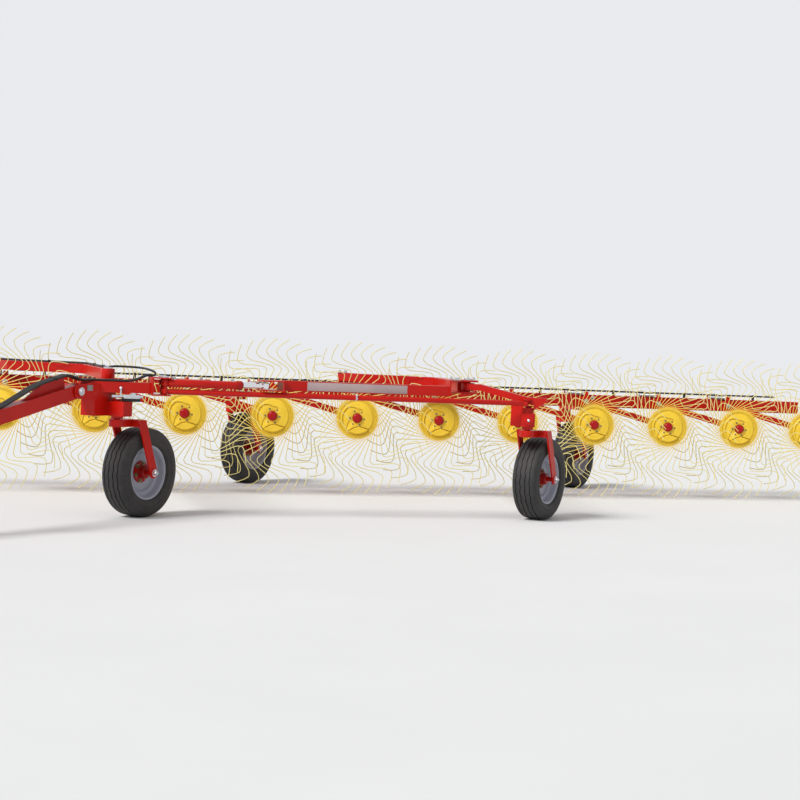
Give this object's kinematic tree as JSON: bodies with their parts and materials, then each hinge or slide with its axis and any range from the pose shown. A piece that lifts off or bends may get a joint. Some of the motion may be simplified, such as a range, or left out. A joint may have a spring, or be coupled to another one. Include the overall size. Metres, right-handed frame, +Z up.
{
  "type": "wheel rake",
  "caption": "Trailed wheel rake with one oblique row of overlapping finger wheels behind a steered caster carriage, with drawbar and parking jack.",
  "frame": {"origin": "centre of the hitch clevis's pin hole", "axes": "+X forward along the drawbar, the way the rake is towed; +Y to the rake's left; +Z up. The floor is 0.45 m below the origin."},
  "size_m": [9.5876, 7.1032, 1.4138],
  "materials": {
    "frame_red": "gloss",
    "arm_red": "gloss",
    "zinc": "satin",
    "jack_black": "satin",
    "chrome_rod": "polished",
    "rim_silver": "satin",
    "tyre": "matte",
    "tine_yellow": "gloss",
    "hose": "matte"
  },
  "bodies": {
    "frame": {"toolbar": "frame_red", "wheel_arms": "arm_red", "arm_springs": "zinc", "crossing_arm_left": "frame_red", "crossing_arm_right": "frame_red", "front_beam": "frame_red", "rear_heads": "frame_red", "frame_hose": "hose"},
    "carriage": {"carriage": "arm_red", "carriage_hoses": "hose"},
    "left_arm": {"left_arm": "arm_red"},
    "steering_tie": {"steering_tie": "arm_red"},
    "drawbar": {"drawbar": "arm_red", "hitch_clevis": "zinc", "drawbar_hoses": "hose"},
    "jack": {"jack_tube": "jack_black", "jack_leg": "jack_black"},
    "front_barrel": {"front_cylinder_barrel": "arm_red"},
    "front_rod": {"front_cylinder_rod": "chrome_rod"},
    "rear_barrel": {"rear_cylinder_barrel": "arm_red"},
    "rear_rod": {"rear_cylinder_rod": "chrome_rod"},
    "right_front_caster": {"right_front_fork": "arm_red"},
    "right_front_wheel": {"right_front_rim": "rim_silver", "right_front_tyre": "tyre"},
    "left_front_caster": {"left_front_fork": "arm_red"},
    "left_front_wheel": {"left_front_rim": "rim_silver", "left_front_tyre": "tyre"},
    "right_rear_caster": {"right_rear_fork": "arm_red"},
    "right_rear_wheel": {"right_rear_rim": "rim_silver", "right_rear_tyre": "tyre"},
    "left_rear_caster": {"left_rear_fork": "arm_red"},
    "left_rear_wheel": {"left_rear_rim": "rim_silver", "left_rear_tyre": "tyre"},
    "rake_wheel_01": {"rake_wheel_01": "tine_yellow"},
    "rake_wheel_02": {"rake_wheel_02": "tine_yellow"},
    "rake_wheel_03": {"rake_wheel_03": "tine_yellow"},
    "rake_wheel_04": {"rake_wheel_04": "tine_yellow"},
    "rake_wheel_05": {"rake_wheel_05": "tine_yellow"},
    "rake_wheel_06": {"rake_wheel_06": "tine_yellow"},
    "rake_wheel_07": {"rake_wheel_07": "tine_yellow"},
    "rake_wheel_08": {"rake_wheel_08": "tine_yellow"},
    "rake_wheel_09": {"rake_wheel_09": "tine_yellow"},
    "rake_wheel_10": {"rake_wheel_10": "tine_yellow"},
    "rake_wheel_11": {"rake_wheel_11": "tine_yellow"}
  },
  "joints": [
    {"name": "front_steer", "type": "hinge", "parent": "frame", "child": "carriage", "pos_m": [-2.67807, -0.08745, 0.55], "axis": [0, 0, 1], "range_deg": [-25, 8]},
    {"name": "left_arm_steer", "type": "hinge", "parent": "frame", "child": "left_arm", "pos_m": [-4.80631, 1.89717, 0.625], "axis": [0, 0, 1], "range_deg": [-25, 8]},
    {"name": "tie_turn", "type": "hinge", "parent": "carriage", "child": "steering_tie", "pos_m": [-2.7587, 0.39794, 0.515], "axis": [0, 0, 1], "range_deg": [-8, 25]},
    {"name": "front_cylinder_turn", "type": "hinge", "parent": "carriage", "child": "front_barrel", "pos_m": [-2.7587, 0.39794, 0.58], "axis": [0, 0, 1], "range_deg": [-11, 34.3]},
    {"name": "front_cylinder_stroke", "type": "slide", "parent": "front_barrel", "child": "front_rod", "axis": [-0.7314, 0.682, 0], "range_m": [-0.0502, 0.1559]},
    {"name": "rear_cylinder_turn", "type": "hinge", "parent": "carriage", "child": "rear_barrel", "pos_m": [-2.85418, 0.29555, 0.58], "axis": [0, 0, 1], "range_deg": [-11.4, 35.55]},
    {"name": "rear_cylinder_stroke", "type": "slide", "parent": "rear_barrel", "child": "rear_rod", "axis": [-0.7314, 0.682, 0], "range_m": [-0.0329, 0.1018]},
    {"name": "drawbar_pitch", "type": "hinge", "parent": "carriage", "child": "drawbar", "pos_m": [-2.2, 0, 0.5], "axis": [0, 1, 0], "range_deg": [-20, 8]},
    {"name": "jack_swing", "type": "hinge", "parent": "drawbar", "child": "jack", "pos_m": [-1.12, 0, 0.25455], "axis": [0, 1, 0], "range_deg": [0, 102.8]},
    {"name": "right_front_swivel", "type": "hinge", "parent": "carriage", "child": "right_front_caster", "pos_m": [-2.54682, 0.12515, 0.39], "axis": [0, 0, 1], "continuous": true},
    {"name": "right_front_wheel_turn", "type": "hinge", "parent": "right_front_caster", "child": "right_front_wheel", "pos_m": [-2.83682, 0.12515, -0.11], "axis": [0, 1, 0], "continuous": true},
    {"name": "left_front_swivel", "type": "hinge", "parent": "left_arm", "child": "left_front_caster", "pos_m": [-4.96102, 2.37643, 0.39], "axis": [0, 0, 1], "continuous": true},
    {"name": "left_front_wheel_turn", "type": "hinge", "parent": "left_front_caster", "child": "left_front_wheel", "pos_m": [-5.25102, 2.37643, -0.11], "axis": [0, 1, 0], "continuous": true},
    {"name": "right_rear_swivel", "type": "hinge", "parent": "frame", "child": "right_rear_caster", "pos_m": [-5.57242, -0.9845, 0.39], "axis": [0, 0, 1], "continuous": true},
    {"name": "right_rear_wheel_turn", "type": "hinge", "parent": "right_rear_caster", "child": "right_rear_wheel", "pos_m": [-5.86242, -0.9845, -0.11], "axis": [0, 1, 0], "continuous": true},
    {"name": "left_rear_swivel", "type": "hinge", "parent": "frame", "child": "left_rear_caster", "pos_m": [-8.10875, 1.38067, 0.39], "axis": [0, 0, 1], "continuous": true},
    {"name": "left_rear_wheel_turn", "type": "hinge", "parent": "left_rear_caster", "child": "left_rear_wheel", "pos_m": [-8.39875, 1.38067, -0.11], "axis": [0, 1, 0], "continuous": true},
    {"name": "rake_wheel_01_turn", "type": "hinge", "parent": "frame", "child": "rake_wheel_01", "pos_m": [-3.32991, -1.80406, 0.262], "axis": [0.8738, 0.4863, 0], "continuous": true},
    {"name": "rake_wheel_02_turn", "type": "hinge", "parent": "frame", "child": "rake_wheel_02", "pos_m": [-3.9106, -1.26255, 0.262], "axis": [0.8738, 0.4863, 0], "continuous": true},
    {"name": "rake_wheel_03_turn", "type": "hinge", "parent": "frame", "child": "rake_wheel_03", "pos_m": [-4.4913, -0.72104, 0.262], "axis": [0.8738, 0.4863, 0], "continuous": true},
    {"name": "rake_wheel_04_turn", "type": "hinge", "parent": "frame", "child": "rake_wheel_04", "pos_m": [-5.07199, -0.17954, 0.262], "axis": [0.8738, 0.4863, 0], "continuous": true},
    {"name": "rake_wheel_05_turn", "type": "hinge", "parent": "frame", "child": "rake_wheel_05", "pos_m": [-5.65269, 0.36197, 0.262], "axis": [0.8738, 0.4863, 0], "continuous": true},
    {"name": "rake_wheel_06_turn", "type": "hinge", "parent": "frame", "child": "rake_wheel_06", "pos_m": [-6.23338, 0.90348, 0.262], "axis": [0.8738, 0.4863, 0], "continuous": true},
    {"name": "rake_wheel_07_turn", "type": "hinge", "parent": "frame", "child": "rake_wheel_07", "pos_m": [-6.81408, 1.44498, 0.262], "axis": [0.8738, 0.4863, 0], "continuous": true},
    {"name": "rake_wheel_08_turn", "type": "hinge", "parent": "frame", "child": "rake_wheel_08", "pos_m": [-7.39477, 1.98649, 0.262], "axis": [0.8738, 0.4863, 0], "continuous": true},
    {"name": "rake_wheel_09_turn", "type": "hinge", "parent": "frame", "child": "rake_wheel_09", "pos_m": [-7.97547, 2.528, 0.262], "axis": [0.8738, 0.4863, 0], "continuous": true},
    {"name": "rake_wheel_10_turn", "type": "hinge", "parent": "frame", "child": "rake_wheel_10", "pos_m": [-8.55616, 3.0695, 0.262], "axis": [0.8738, 0.4863, 0], "continuous": true},
    {"name": "rake_wheel_11_turn", "type": "hinge", "parent": "frame", "child": "rake_wheel_11", "pos_m": [-9.13686, 3.61101, 0.262], "axis": [0.8738, 0.4863, 0], "continuous": true}
  ],
  "couplings": [
    {"joint": "left_arm_steer", "follows": "front_steer", "ratio": 1},
    {"joint": "tie_turn", "follows": "front_steer", "ratio": -1},
    {"joint": "front_cylinder_turn", "follows": "front_steer", "ratio": -1.37},
    {"joint": "front_cylinder_stroke", "follows": "front_steer", "m_per_rad": -0.356},
    {"joint": "rear_cylinder_turn", "follows": "front_steer", "ratio": -1.42},
    {"joint": "rear_cylinder_stroke", "follows": "front_steer", "m_per_rad": -0.232}
  ]
}
